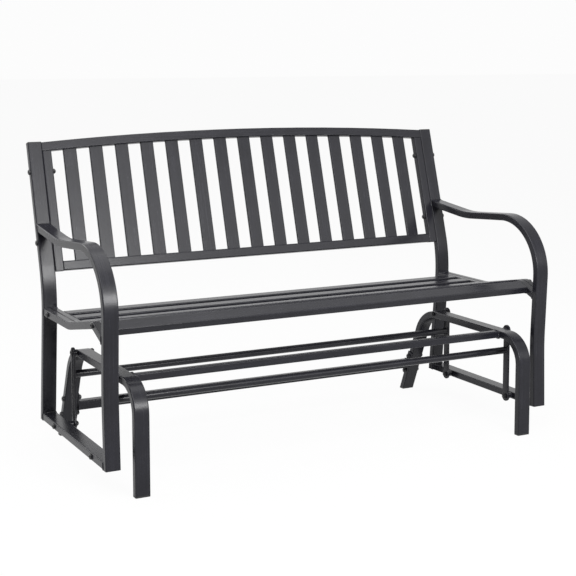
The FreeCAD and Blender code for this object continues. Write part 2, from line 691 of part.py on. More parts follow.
def bottom_rail(label, x):
    """The level tube between the feet of the leg and the post."""
    body = bent_tube(label, x, [
        ("Sizes.leg_foot_y", LOWER_PIVOT_Z),
        ("Sizes.post_foot_y", LOWER_PIVOT_Z),
    ], [], "90")
    trim(body, "LegEnd", "YZ_Plane", f"(Sizes.leg_foot_y + {HALF_DEEP} / cos({LEG_LEAN}))",
         "Sizes.frame_bottom_z", f"180 - {LEG_LEAN}")
    trim(body, "PostEnd", "YZ_Plane",
         f"(Sizes.post_foot_y - {HALF_DEEP} / cos(Sizes.post_lean))",
         "Sizes.frame_bottom_z", "Sizes.post_lean")
    for i, (y, z) in enumerate(LOWER_PIVOTS):
        drill(body, f"Hole{i}", y, z)
    return body


def seat_bar(label, x):
    """A square tube from post to leg that follows the seat: level, rising, then turned down."""
    nose_z = ("(Sizes.seat_crest_z"
              " - (Sizes.seat_crest_y - Sizes.arm_corner_y) * tan(Sizes.seat_nose_angle))")
    body = bent_tube(label, x, [
        (post_lower_y(SEAT_REAR_Z), SEAT_REAR_Z),
        ("Sizes.seat_rise_y", SEAT_REAR_Z),
        ("Sizes.seat_crest_y", "Sizes.seat_crest_z"),
        ("Sizes.arm_corner_y", nose_z),
    ], ["Sizes.seat_rise_bend", "Sizes.seat_crest_bend"], "-90", wide="Sizes.tube_wide / 2")
    trim(body, "PostEnd", "YZ_Plane", knee_face_y(SEAT_REAR_Z), SEAT_REAR_Z,
         knee_face_angle(SEAT_REAR_Z))
    trim(body, "LegEnd", "YZ_Plane", f"({shin_y(nose_z)} + {HALF_DEEP} / cos({SHIN_LEAN}))",
         nose_z, f"180 - ({SHIN_LEAN})")
    return body


def seat_bolt_z(y):
    """Height of the seat bar's middle line at a seat bolt, behind or before the rise."""
    if value(y) > value("Sizes.seat_rise_y"):
        return SEAT_REAR_Z
    return "Sizes.seat_crest_z"


def seat_run(y):
    """Height and lean of the seat's middle line at a slat, as expressions."""
    half_turn = f"(atan({SEAT_RISE}) / 2deg)"
    reach = f"(Sizes.seat_rise_bend * tan({half_turn}))"
    if value(y) > value(f"Sizes.seat_rise_y + {reach}"):
        return SEAT_REAR_Z, "0"
    if value(y) > value(f"Sizes.seat_rise_y - {reach}"):
        middle = f"Sizes.seat_rise_bend * (1 / cos({half_turn}) - 1)"
        return (f"({SEAT_REAR_Z} + {middle} + (Sizes.seat_rise_y - {y}) * tan({half_turn}))",
                f"-{half_turn}")
    if value(y) > value("Sizes.seat_crest_y"):
        return (f"(Sizes.seat_crest_z - ({y} - Sizes.seat_crest_y) * {SEAT_RISE})",
                f"-atan({SEAT_RISE}) / 1deg")
    return (f"(Sizes.seat_crest_z - (Sizes.seat_crest_y - {y}) * tan(Sizes.seat_nose_angle))",
            "Sizes.seat_nose_angle")


for name, side in ENDS:
    pieces.append(post(f"post_{name}", f"{side}{FRAME_X}"))
    pieces.append(arm(f"arm_{name}", f"{side}{FRAME_X}"))
    pieces.append(bottom_rail(f"bottom_rail_{name}", f"{side}{FRAME_X}"))

SEAT_BOLTS = [(y, seat_bolt_z(y)) for y in ("Sizes.seat_bolt_front", "Sizes.seat_bolt_rear")]
for name, side in ENDS:
    rail = seat_bar(f"seat_rail_{name}", f"{side}({FRAME_INSIDE_X} + Sizes.tube_wide * 3 / 4)")
    bar = seat_bar(f"seat_side_bar_{name}", f"{side}({FRAME_INSIDE_X} + Sizes.tube_wide / 4)")
    for i, (y, z) in enumerate(SEAT_BOLTS):
        drill(rail, f"Hole{i}", y, z)
        hole = add_sketch(bar, f"Hole{i}", "YZ_Plane")
        add_circle(hole, BOLT_HOLE, y, z)
        pocket(bar, hole, "Sizes.tube_wide / 2", middle=False, backwards=(side == "+"))
    pieces += [rail, bar]

for i in range(int(SIZES["seat_slat_count"])):
    y = f"(Sizes.seat_slat_first + {i} * Sizes.seat_slat_pitch)"
    z, tilt = seat_run(y)
    pieces.append(cross_tube(f"seat_slat_{i + 1}", f"2 * {FRAME_INSIDE_X}", y, z, tilt))


# Back
def upright(label, side):
    """An end bar of the back frame, from its lower corner up to the top rail."""
    body = add_body(label)
    x = f"{side}({FRAME_INSIDE_X} - Sizes.stretcher_wide / 2)"
    section = add_sketch(body, "Section", "XY_Plane", offset=("0", "0", "Sizes.back_bottom_height"))
    add_tube_section(section, "Sizes.stretcher_wide", "Sizes.tube_deep")
    pad(body, section, "Sizes.back_crown_height - Sizes.back_bottom_height")
    trim(body, "Top", "XZ_Plane", "0", arch_height(x, "Sizes.stretcher_wide"),
         f"90 - {arch_slope(x)}")
    for i, height in enumerate(("Sizes.back_bolt_lower_height", "Sizes.back_bolt_upper_height")):
        hole = add_sketch(body, f"Hole{i}", "YZ_Plane")
        add_circle(hole, BOLT_HOLE, "0", height)
        pocket(body, hole, THROUGH)
    place_on_back(body, x)
    return body


def top_rail(label):
    """The arched rail over the back, from post to post."""
    body = add_body(label)
    radius = "(Sizes.back_arch_radius - Sizes.stretcher_wide / 2)"
    middle_z = "(Sizes.back_crown_height - Sizes.back_arch_radius)"
    end_x = f"({FRAME_INSIDE_X} + Sizes.trim_extra_length)"
    end_z = f"({middle_z} + sqrt({radius} ^ 2 - {end_x} ^ 2))"
    path = add_sketch(body, "Path", "XZ_Plane")
    half_arc = math.asin(value(end_x) / value(radius))
    circle = Part.Circle(FreeCAD.Vector(0, value(middle_z), 0), FreeCAD.Vector(0, 0, 1),
                         value(radius))
    arc = path.addGeometry(Part.ArcOfCircle(circle, math.pi / 2 - half_arc, math.pi / 2 + half_arc))
    pin_point(path, arc, 3, "0", middle_z)
    bind(path, "Radius", arc, size=radius)
    bind(path, "DistanceX", -1, 1, arc, 1, size=end_x)
    bind(path, "DistanceX", arc, 2, -1, 1, size=end_x)
    section = add_sketch(body, "Section", "YZ_Plane", offset=("0", end_z, end_x),
                         turn=((1, 0, 0), f"asin({end_x} / {radius})"))
    add_tube_section(section, "Sizes.tube_deep", "Sizes.stretcher_wide")
    sweep(body, section, path)
    for name, side, toward in (("Right", "", "0"), ("Left", "-", "180")):
        trim(body, name, "XZ_Plane", f"{side}{FRAME_INSIDE_X}", "Sizes.back_crown_height", toward)
    place_on_back(body)
    return body


def lower_rail(label):
    """The straight rail under the back slats."""
    body = add_body(label)
    section = add_sketch(body, "Section", "YZ_Plane",
                         offset=("0", "Sizes.back_bottom_height + Sizes.stretcher_wide / 2", "0"))
    add_tube_section(section, "Sizes.tube_deep", "Sizes.stretcher_wide")
    pad(body, section, f"2 * ({FRAME_INSIDE_X} - Sizes.stretcher_wide)", middle=True)
    place_on_back(body)
    return body


def back_slat(label, x):
    """A thin upright slat whose top follows the arch."""
    body = add_body(label)
    start = "(Sizes.back_bottom_height + Sizes.stretcher_wide)"
    section = add_sketch(body, "Section", "XY_Plane", offset=("0", "0", start))
    add_tube_section(section, "Sizes.tube_wide", "Sizes.back_slat_thick",
                     "Sizes.back_slat_wall", "Sizes.back_slat_corner")
    pad(body, section, f"Sizes.back_crown_height - {start}")
    trim(body, "Top", "XZ_Plane", "0", arch_height(x, "Sizes.stretcher_wide"),
         f"90 - {arch_slope(x)}")
    place_on_back(body, x)
    return body


def post_cap(label, x):
    """A cap on a post, with a plug down inside the tube."""
    body = add_body(label)
    section = add_sketch(body, "Section", "XY_Plane", offset=("0", "0", "Sizes.post_upper_long"))
    add_rounded_rectangle(section, "Sizes.tube_wide", "Sizes.tube_deep", "Sizes.tube_corner")
    pad(body, section, "Sizes.post_cap_thick")
    plug = add_sketch(body, "Plug", "XY_Plane", offset=("0", "0", "Sizes.post_upper_long"))
    add_plug_section(plug)
    pad(body, plug, "Sizes.cap_plug_long", backwards=True)
    place_on_back(body, x)
    return body


pieces.append(top_rail("back_top_rail"))
pieces.append(lower_rail("back_lower_rail"))
for name, side in ENDS:
    pieces.append(upright(f"back_upright_{name}", side))
slat_count = int(SIZES["back_slat_count"])
for i in range(slat_count):
    pieces.append(back_slat(f"back_slat_{i + 1:02d}",
                            f"({i - (slat_count - 1) / 2} * {BACK_SLAT_PITCH})"))

pieces.append(group("post_caps", [post_cap(f"post_cap_{name}", f"{side}{FRAME_X}")
                                  for name, side in ENDS]))
pieces.append(group("frame_end_plugs", [
    end_plug(f"{piece}_plug_{name}", f"{side}{FRAME_X}", y, lean)
    for name, side in ENDS
    for piece, y, lean in (("leg", "Sizes.leg_foot_y", f"-{LEG_LEAN}"),
                           ("post", "Sizes.post_foot_y", "Sizes.post_lean"))]))
pieces.append(fasteners("lower_pivot_bolts", LOWER_PIVOTS, HALF_LENGTH,
                        f"({HALF_LENGTH} - {LINK_INSIDE_X} + Sizes.nut_thick)",
                        f"({LINK_INSIDE_X} - Sizes.nut_thick / 2)"))
pieces.append(group("lower_spacers", [
    washer(f"lower_spacer_{name}_{i}", f"{side}({LINK_OUTSIDE_X} + {FRAME_INSIDE_X}) / 2", y, z,
           f"{FRAME_INSIDE_X} - {LINK_OUTSIDE_X}")
    for name, side in ENDS for i, (y, z) in enumerate(LOWER_PIVOTS)]))
pieces.append(fasteners("back_bolts", BACK_BOLTS, HALF_LENGTH,
                        "(Sizes.tube_wide + Sizes.stretcher_wide + Sizes.nut_thick)",
                        f"({FRAME_INSIDE_X} - Sizes.stretcher_wide - Sizes.nut_thick / 2)"))
pieces.append(fasteners("seat_bolts", SEAT_BOLTS, HALF_LENGTH,
                        "(Sizes.tube_wide / 2 + Sizes.tube_wall)"))

# Checks, then one file per piece
doc.recompute()
failed = [item.Label for item in doc.Objects if {"Invalid", "Error"} & set(item.State)]
failed += [piece.Label for piece in pieces if piece.Shape.isNull() or not piece.Shape.isValid()]
if failed:
    raise RuntimeError("could not be built: " + ", ".join(failed))

os.makedirs("parts", exist_ok=True)
for piece in pieces:
    piece.Shape.exportStep(f"parts/{piece.Label}.step")
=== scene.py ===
"""Dresses the glider bench in its powder coat, welds, bolts and caps, and sets up a plain studio."""

import json
import math

import bmesh
import bpy
from mathutils import Matrix, Vector


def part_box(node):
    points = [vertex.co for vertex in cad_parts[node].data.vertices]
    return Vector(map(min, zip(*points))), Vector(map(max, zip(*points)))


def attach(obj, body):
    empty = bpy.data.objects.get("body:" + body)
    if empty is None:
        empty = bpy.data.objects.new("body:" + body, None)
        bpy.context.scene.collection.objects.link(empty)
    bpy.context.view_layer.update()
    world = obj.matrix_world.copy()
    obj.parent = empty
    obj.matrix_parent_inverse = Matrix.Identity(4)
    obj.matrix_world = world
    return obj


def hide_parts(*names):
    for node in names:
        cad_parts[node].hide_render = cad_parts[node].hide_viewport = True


bl_info = {
    "name": "Glider Bench",
    "version": (1, 0, 0),
    "blender": (4, 5, 0),
    "location": "3D View > Sidebar > Glider Bench",
    "description": "Finishes the glider bench with its powder coat, welds, bolts and caps",
    "category": "Object",
}

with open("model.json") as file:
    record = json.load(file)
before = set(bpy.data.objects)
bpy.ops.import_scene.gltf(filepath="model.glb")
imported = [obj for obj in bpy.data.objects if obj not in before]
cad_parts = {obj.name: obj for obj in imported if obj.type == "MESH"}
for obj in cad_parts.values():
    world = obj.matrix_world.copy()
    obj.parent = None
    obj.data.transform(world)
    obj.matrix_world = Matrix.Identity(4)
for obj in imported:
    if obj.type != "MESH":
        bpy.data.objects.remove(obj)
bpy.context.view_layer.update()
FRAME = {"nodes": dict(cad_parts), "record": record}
NODES = FRAME["nodes"]
BODY_NODES = FRAME["record"]["behaviour"]["bodies"]

ALONG = Vector((1.0, 0.0, 0.0))
REARWARD = Vector((0.0, 1.0, 0.0))
UPWARD = Vector((0.0, 0.0, 1.0))

# How finely round forms are drawn.
ROUND_STEPS = 36
BEAD_STEPS = 8
RIPPLE_STEPS = 4
EYE_STEPS = 40
CREASE_ANGLE = math.radians(38.0)


def mm(value):
    """Millimetres as metres."""
    return value / 1000.0


# How the outlines are read from the frame.
END_DEPTH = mm(2.6)
RIM_DEPTH = mm(0.2)
FINE_STEP = mm(0.5)
SAME_POINT = mm(0.005)
SAME_PLATE_POINT = mm(0.002)
MICROMETRE_DIGITS = 6
OPEN_SIDE_SHARE = 0.3

# A weld bead swells at each ripple, and an open one tapers over its last few points.
RIPPLE_SWELL = 0.13
TAPER_START = 0.5
TAPER_STEP = 0.2

# Bolts, nuts and screws. A bore's play is on its radius, a thread's depth is in pitches, and a socket's
# mouth is in widths of its flats.
BORE_PLAY = mm(0.1)
THREAD_TURNS = 7
THREAD_DEPTH = 0.6
CROWN_STEPS = (0.2, 0.4, 0.6, 0.8, 1.0)
BOLT_MOUTH = 1.32
SCREW_MOUTH = 1.2
DRILL_POINT = mm(0.8)

# Rise and reach of the rounded edges of the caps, in radii of the edge.
SOLE_EDGE = ((0.0, -1.0), (0.3, -0.3), (1.0, 0.0))
CROWN_EDGE = ((-1.5, 0.0), (-0.8, -0.3), (-0.4, -1.0), (-0.1, -4.0))

# Most values of a noise lie between these two.
NOISE_LOW = 0.35
NOISE_HIGH = 0.65

# The coat's tone is in part the streaks of the die, whose noise is drawn out along a tube by this scale.
# Its roughness swings with the tone.
STREAK_SHARE = 0.5
DRAWN_OUT = 0.02
ROUGHNESS_SWING = 0.025

# The soft lights: place and width in metres, and power in watts. All of them face one point.
SOFTBOX_AIM = (0.0, 0.0, 0.4)
SOFTBOXES = {
    "front_softbox": ((0.3, -3.4, 1.55), 0.9, 70.0),
    "middle_softbox": ((0.7, -3.4, 2.4), 1.4, 18.0),
    "right_softbox": ((2.1, -3.1, 1.7), 1.6, 16.0),
    "high_softbox": ((-0.9, -2.0, 3.2), 2.0, 75.0),
    "left_softbox": ((-2.6, 0.3, 3.0), 1.8, 30.0),
    "rear_softbox": ((-2.2, 3.0, 2.4), 1.8, 50.0),
    "overhead_softbox": ((0.0, 0.1, 3.2), 2.4, 36.0),
}


def linear(hex_colour):
    """An sRGB hex colour as the linear red, green, blue and alpha that a node takes."""
    channels = [int(hex_colour[i : i + 2], 16) / 255.0 for i in (1, 3, 5)]
    bent = [c / 12.92 if c <= 0.04045 else ((c + 0.055) / 1.055) ** 2.4 for c in channels]
    return (*bent, 1.0)


WHITE = linear("#ffffff")


def length_setting(name, description, size):
    """A size in millimetres that a user may change."""
    return bpy.props.FloatProperty(
        name=name, description=description, unit="LENGTH", min=0.0, default=mm(size)
    )


def colour_setting(name, description, hex_colour):
    """A colour that a user may change."""
    return bpy.props.FloatVectorProperty(
        name=name,
        description=description,
        subtype="COLOR",
        size=4,
        min=0.0,
        max=1.0,
        default=linear(hex_colour),
    )


def share_setting(name, description, share):
    """A share from nothing to one that a user may change."""
    return bpy.props.FloatProperty(
        name=name, description=description, subtype="FACTOR", min=0.0, max=1.0, default=share
    )


class GLIDERBENCH_PG_coat(bpy.types.PropertyGroup):
    """Colours and grain of the powder coat."""

    thick_colour: colour_setting("Thick Coat", "Colour where the powder lies thicker", "#19191e")
    thin_colour: colour_setting("Thin Coat", "Colour where the powder lies thinner", "#212127")
    roughness: share_setting("Roughness", "Middle roughness of the baked coat", 0.26)
    tone_patch: length_setting("Tone Patch", "Width of the slow changes of tone", 60.0)
    die_line: length_setting("Die Line", "Spacing of the faint lines along a tube", 6.0)
    orange_peel: length_setting("Orange Peel", "Width of one dimple of the coat", 1.6)
    peel_depth: length_setting("Peel Depth", "Depth of one dimple of the coat", 0.06)


class GLIDERBENCH_PG_hardware(bpy.types.PropertyGroup):
    """Sizes of the welds, bolts, plates and caps."""

    bead_width: length_setting("Weld Bead", "Width of a weld bead in a corner", 3.6)
    slat_bead_width: length_setting("Slat Weld Bead", "Width of a weld bead at the end of a slat", 2.4)
    ground_bead_width: length_setting("Ground Weld Bead", "Width left of a weld that was ground flush", 1.0)
    ripple: length_setting("Weld Ripple", "Spacing of the ripples along a weld bead", 3.0)
    shank_diameter: length_setting("Bolt Shank", "Diameter of the bolts", 8.0)
    thread_pitch: length_setting("Thread Pitch", "Pitch of the bolts' thread", 1.25)
    head_rim: length_setting("Head Rim", "Height of the upright edge of a bolt head", 2.0)
    head_crown: length_setting("Head Crown", "Diameter of the flat top of a bolt head", 9.0)
    head_height: length_setting("Head Height", "Height of a bolt head", 4.5)
    socket_flats: length_setting("Socket", "Width across the flats of the key socket in a bolt head", 5.0)
    socket_depth: length_setting("Socket Depth", "Depth of the key socket in a bolt head", 2.6)
    nut_flats: length_setting("Nut", "Width of a nut across its flats", 13.0)
    nut_collar: length_setting("Nut Collar", "Diameter of the locking collar of a nut", 11.0)
    shaft_width: length_setting("Link Shaft", "Width of a link between its eyes", 22.0)
    plate_edge: length_setting("Plate Edge", "Radius of the tumbled edges of a plate", 0.7)
    foot_height: length_setting("Foot Height", "Height of a foot cap under its tube", 5.0)
    cap_height: length_setting("Cap Height", "Height of a post cap over its tube", 3.5)
    cap_edge: length_setting("Cap Edge", "Radius of the outer edges of a cap", 0.8)
    cap_gap: length_setting("Cap Gap", "Depth of the shadow line between a cap and its tube", 0.5)


class GLIDERBENCH_PG_studio(bpy.types.PropertyGroup):
    """Place of the camera, and colour and light of the room."""

    camera_place: bpy.props.FloatVectorProperty(
        name="Camera Place",
        description="Where the camera stands",
        subtype="TRANSLATION",
        unit="LENGTH",
        default=(mm(-1608.4), mm(-2988.4), mm(1008.6)),
    )
    camera_yaw: bpy.props.FloatProperty(
        name="Camera Yaw",
        description="How far the camera turns to its right from the straight front",
        subtype="ANGLE",
        default=0.4529,
    )
    camera_pitch: bpy.props.FloatProperty(
        name="Camera Pitch",
        description="How far the camera looks down",
        subtype="ANGLE",
        default=0.1086,
    )
    camera_roll: bpy.props.FloatProperty(
        name="Camera Roll",
        description="How far the camera leans",
        subtype="ANGLE",
        default=0.0049,
    )
    camera_lens: bpy.props.FloatProperty(
        name="Lens",
        description="Focal length in millimetres on a 36 mm wide sensor",
        default=79.34,
    )
    camera_shift: bpy.props.FloatVectorProperty(
        name="Lens Shift",
        description="Shift of the picture as a share of its width",
        size=2,
        default=(0.085, -0.15),
    )
    floor_colour: colour_setting("Floor", "Colour of the paper floor", "#e6e6e6")
    room_light: bpy.props.FloatProperty(
        name="Room Light",
        description="Strength of the even light from all round",
        default=0.05,
    )
    room_white: share_setting("Room White", "Brightness of the room where it is seen", 0.975)
    floor_glow: share_setting("Floor White", "Share of plain white in what is seen of the floor", 0.955)


def add_node(tree, kind, values=None, links=None, **settings):
    """Adds one node with its settings, its unlinked input values and its links."""
    node = tree.nodes.new(kind)
    for name, value in settings.items():
        setattr(node, name, value)
    for name, value in (values or {}).items():
        node.inputs[name].default_value = value
    for name, output in (links or {}).items():
        tree.links.new(output, node.inputs[name])
    return node


def new_material(name):
    """An empty node material of that name."""
    material = bpy.data.materials.new(name)
    material.use_nodes = True
    material.node_tree.nodes.clear()
    return material, material.node_tree


def two_tone(tree, amount, dark, light):
    """A colour that goes from dark to light as a noise passes its middle."""
    ramp = add_node(tree, "ShaderNodeValToRGB", None, {"Fac": amount})
    for element, position, colour in zip(ramp.color_ramp.elements, (NOISE_LOW, NOISE_HIGH), (dark, light)):
        element.position = position
        element.color = colour
    return ramp.outputs["Color"]


def powder_coated_steel(name, coat, streak_scale):
    """Mild steel tube, sprayed with charcoal polyester powder and baked.

    To the eye it is a dark satin skin with an even grey sheen at low angles, a very fine orange peel,
    slow changes of tone where the powder lies thicker, and faint lines along the tube from its drawing
    die. The dimples are drawn at twice their real width, so that they show. The IOR is matched to the
    object, and lies below that of the bare resin.
    """
    if name in bpy.data.materials:
        return bpy.data.materials[name]
    material, tree = new_material(name)
    place = add_node(tree, "ShaderNodeTexCoord").outputs["Object"]
    cloud = add_node(
        tree,
        "ShaderNodeTexNoise",
        {"Scale": 1.0 / coat.tone_patch, "Detail": 3.0, "Roughness": 0.55},
        {"Vector": place},
    ).outputs["Fac"]
    across = add_node(
        tree, "ShaderNodeMapping", {"Scale": streak_scale}, {"Vector": place}
    ).outputs["Vector"]
    streak = add_node(
        tree,
        "ShaderNodeTexNoise",
        {"Scale": 1.0 / coat.die_line, "Detail": 2.0, "Roughness": 0.6},
        {"Vector": across},
    ).outputs["Fac"]
    lines = add_node(
        tree, "ShaderNodeMath", {1: STREAK_SHARE}, {0: streak}, operation="MULTIPLY"
    ).outputs["Value"]
    tone = add_node(
        tree, "ShaderNodeMath", {1: 1.0 - STREAK_SHARE}, {0: cloud, 2: lines}, operation="MULTIPLY_ADD"
    ).outputs["Value"]
    rough = add_node(
        tree,
        "ShaderNodeMapRange",
        {
            "From Min": NOISE_LOW,
            "From Max": NOISE_HIGH,
            "To Min": coat.roughness - ROUGHNESS_SWING,
            "To Max": coat.roughness + ROUGHNESS_SWING,
        },
        {"Value": tone},
    ).outputs["Result"]
    peel = add_node(
        tree, "ShaderNodeTexNoise", {"Scale": 1.0 / coat.orange_peel, "Detail": 2.0}, {"Vector": place}
    ).outputs["Fac"]
    bump = add_node(
        tree, "ShaderNodeBump", {"Strength": 0.25, "Distance": coat.peel_depth}, {"Height": peel}
    ).outputs["Normal"]
    shader = add_node(
        tree,
        "ShaderNodeBsdfPrincipled",
        {"IOR": 1.33},
        {
            "Base Color": two_tone(tree, tone, coat.thick_colour, coat.thin_colour),
            "Roughness": rough,
            "Normal": bump,
        },
    ).outputs["BSDF"]
    add_node(tree, "ShaderNodeOutputMaterial", None, {"Surface": shader})
    return material


def bent_tube_coat():
    """The powder coat with its die lines along tubes that bend in side view."""
    streak_scale = (1.0, DRAWN_OUT, DRAWN_OUT)
    return powder_coated_steel("powder_coated_bent_tube", bpy.context.scene.gliderbench_coat, streak_scale)


def long_tube_coat():
    """The powder coat with its die lines along tubes that run from side to side."""
    streak_scale = (DRAWN_OUT, 1.0, 1.0)
    return powder_coated_steel("powder_coated_long_tube", bpy.context.scene.gliderbench_coat, streak_scale)


def black_zinc_steel():
    """Steel bolts and nuts, plated with zinc and passivated black.

    To the eye they are near black with a faint mottle, and their shine is stronger but softer than that
    of the powder coat.
    """
    name = "black_zinc_plated_steel"
    if name in bpy.data.materials:
        return bpy.data.materials[name]
    material, tree = new_material(name)
    place = add_node(tree, "ShaderNodeTexCoord").outputs["Object"]
    mottle_width = mm(3.0)
    mottle_depth = mm(0.05)
    mottle = add_node(
        tree, "ShaderNodeTexNoise", {"Scale": 1.0 / mottle_width, "Detail": 3.0}, {"Vector": place}
    ).outputs["Fac"]
    rough = add_node(
        tree, "ShaderNodeMapRange", {"To Min": 0.28, "To Max": 0.4}, {"Value": mottle}
    ).outputs["Result"]
    bump = add_node(
        tree, "ShaderNodeBump", {"Strength": 0.15, "Distance": mottle_depth}, {"Height": mottle}
    ).outputs["Normal"]
    shader = add_node(
        tree,
        "ShaderNodeBsdfPrincipled",
        {"IOR": 1.5},
        {
            "Base Color": two_tone(tree, mottle, linear("#111113"), linear("#1b1b1e")),
            "Roughness": rough,
            "Normal": bump,
        },
    ).outputs["BSDF"]
    add_node(tree, "ShaderNodeOutputMaterial", None, {"Surface": shader})
    return material


def moulded_polypropylene():
    """Black polypropylene, injection moulded in a spark-eroded tool.

    To the eye it is a matt black with a fine grain. The grain is drawn at 0.8 mm, so that it shows.
    """
    name = "moulded_polypropylene"
    if name in bpy.data.materials:
        return bpy.data.materials[name]
    material, tree = new_material(name)
    place = add_node(tree, "ShaderNodeTexCoord").outputs["Object"]
    grain_width = mm(0.8)
    grain_depth = mm(0.08)
    grain = add_node(
        tree, "ShaderNodeTexNoise", {"Scale": 1.0 / grain_width, "Detail": 2.0}, {"Vector": place}
    ).outputs["Fac"]
    rough = add_node(
        tree, "ShaderNodeMapRange", {"To Min": 0.5, "To Max": 0.62}, {"Value": grain}
    ).outputs["Result"]
    bump = add_node(
        tree, "ShaderNodeBump", {"Strength": 0.4, "Distance": grain_depth}, {"Height": grain}
    ).outputs["Normal"]
    shader = add_node(
        tree,
        "ShaderNodeBsdfPrincipled",
        {"IOR": 1.49},
        {
            "Base Color": two_tone(tree, grain, linear("#131314"), linear("#1a1a1c")),
            "Roughness": rough,
            "Normal": bump,
        },
    ).outputs["BSDF"]
    add_node(tree, "ShaderNodeOutputMaterial", None, {"Surface": shader})
    return material


def body_holding(node):
    """The name of the moving body that a CAD node belongs to."""
    return next(body for body, names in BODY_NODES.items() if node in names)


def nodes_named(*words):
    """The CAD nodes whose names hold one of these words."""
    return sorted(name for name in NODES if any(word in name for word in words))


def coat_nodes(names, material):
    """Gives CAD nodes one material."""
    for name in names:
        piece = NODES[name]
        piece.data.materials.clear()
        piece.data.materials.append(material)


def add_piece(name, work, material, body, stands_for=()):
    """Makes a piece of finished geometry, smooth but for its creases, and lets it ride on a body."""
    bmesh.ops.recalc_face_normals(work, faces=work.faces)
    mesh = bpy.data.meshes.new(name)
    work.to_mesh(mesh)
    work.free()
    mesh.shade_smooth()
    mesh.set_sharp_from_angle(angle=CREASE_ANGLE)
    mesh.materials.append(material)
    piece = bpy.data.objects.new(name, mesh)
    bpy.context.scene.collection.objects.link(piece)
    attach(piece, body)
    if stands_for:
        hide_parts(*stands_for)


def corners_of(node):
    """The corner points of a CAD node's surface."""
    return [vert.co.copy() for vert in NODES[node].data.vertices]


def solids_of(node):
    """The corner points of each separate solid of a CAD node."""
    work = bmesh.new()
    work.from_mesh(NODES[node].data)
    bmesh.ops.remove_doubles(work, verts=work.verts, dist=SAME_POINT)
    seen = set()
    solids = []
    for first in work.verts:
        if first in seen:
            continue
        seen.add(first)
        reached = [first]
        for vert in reached:
            for edge in vert.link_edges:
                other = edge.other_vert(vert)
                if other not in seen:
                    seen.add(other)
                    reached.append(other)
        solids.append([vert.co.copy() for vert in reached])
    work.free()
    return sorted(solids, key=lambda points: tuple(box_of(points)[0]))


def box_of(points):
    """The lowest and highest corner of some points."""
    low = Vector([min(point[i] for point in points) for i in range(3)])
    high = Vector([max(point[i] for point in points) for i in range(3)])
    return low, high


def middle_of(points):
    """The average of some points."""
    return sum(points, Vector()) / len(points)


def points_between(points, axis, low, high):
    """The points whose distance along an axis lies between two."""
    return [point for point in points if low <= point.dot(axis) <= high]


def end_points(points, axis, depth=END_DEPTH):
    """The points at the end of a piece that lies furthest along an axis."""
    furthest = max(point.dot(axis) for point in points)
    return points_between(points, axis, furthest - depth, furthest)


def outline_of(points, axis):
    """The outermost of some points, in order round an axis."""
    first = axis.orthogonal().normalized()
    second = axis.cross(first)
    flat = {}
    for point in points:
        place = (round(point.dot(first), MICROMETRE_DIGITS), round(point.dot(second), MICROMETRE_DIGITS))
        flat[place] = point

    def half(places):
        chain = []
        for place in places:
            while len(chain) > 1:
                (ax, ay), (bx, by) = chain[-2], chain[-1]
                if (bx - ax) * (place[1] - ay) - (by - ay) * (place[0] - ax) > 0.0:
                    break
                chain.pop()
            chain.append(place)
        return chain[:-1]

    places = sorted(flat)
    return [flat[place] for place in half(places) + half(places[::-1])]


def spaced(path, step, closed):
    """The same path with points an even step apart."""
    whole = path + path[:1] if closed else path
    result = []
    start = 0.0
    for near, far in zip(whole, whole[1:]):
        span = (far - near).length
        while start < span:
            result.append(near.lerp(far, start / span))
            start += step
        start -= span
    return result


def girth(outline):
    """The length round a closed outline."""
    return sum((far - near).length for near, far in zip(outline, outline[1:] + outline[:1]))


def even_outline(points, axis):
    """The outline of some points, drawn anew with an even step."""
    outline = outline_of(points, axis)
    step = girth(outline) / ROUND_STEPS / 2
    return spaced(outline, step, True)[: 2 * ROUND_STEPS]


def grown(outline, axis, amount):
    """A closed outline moved outwards in its own plane, or inwards by a negative amount."""
    middle = middle_of(outline)
    result = []
    for i, point in enumerate(outline):
        along = outline[(i + 1) % len(outline)] - outline[i - 1]
        outward = along.cross(axis).normalized()
        if outward.dot(point - middle) < 0.0:
            outward = -outward
        result.append(point + outward * amount)
    return result


def thin_direction(outline, axis):
    """The direction across an outline in which it is thinnest."""
    first = axis.orthogonal().normalized()
    second = axis.cross(first)
    turns = [math.radians(degrees) for degrees in range(180)]
    directions = [first * math.cos(turn) + second * math.sin(turn) for turn in turns]

    def extent(direction):
        reach = [point.dot(direction) for point in outline]
        return max(reach) - min(reach)

    return min(directions, key=extent)


def leave_open(outline, away):
    """An outline without its side towards a direction, as one open run."""
    fine = spaced(outline, FINE_STEP, True)
    reach = [point.dot(away) for point in fine]
    limit = max(reach) - OPEN_SIDE_SHARE * (max(reach) - min(reach))
    kept = [value < limit for value in reach]
    start = next(i for i in range(len(fine)) if kept[i] and not kept[i - 1])
    turned = fine[start:] + fine[:start]
    return [point for point in turned if point.dot(away) < limit]


def add_rings(work, rings, closed=False):
    """Joins rings of points by faces. A ring of one point closes an end."""
    rows = [[work.verts.new(point) for point in ring] for ring in rings]
    pairs = list(zip(rows, rows[1:]))
    if closed:
        pairs.append((rows[-1], rows[0]))
    for lower, upper in pairs:
        for i in range(max(len(lower), len(upper))):
            corners = [
                lower[i % len(lower)],
                lower[(i + 1) % len(lower)],
                upper[(i + 1) % len(upper)],
                upper[i % len(upper)],
            ]
            work.faces.new(list(dict.fromkeys(corners)))


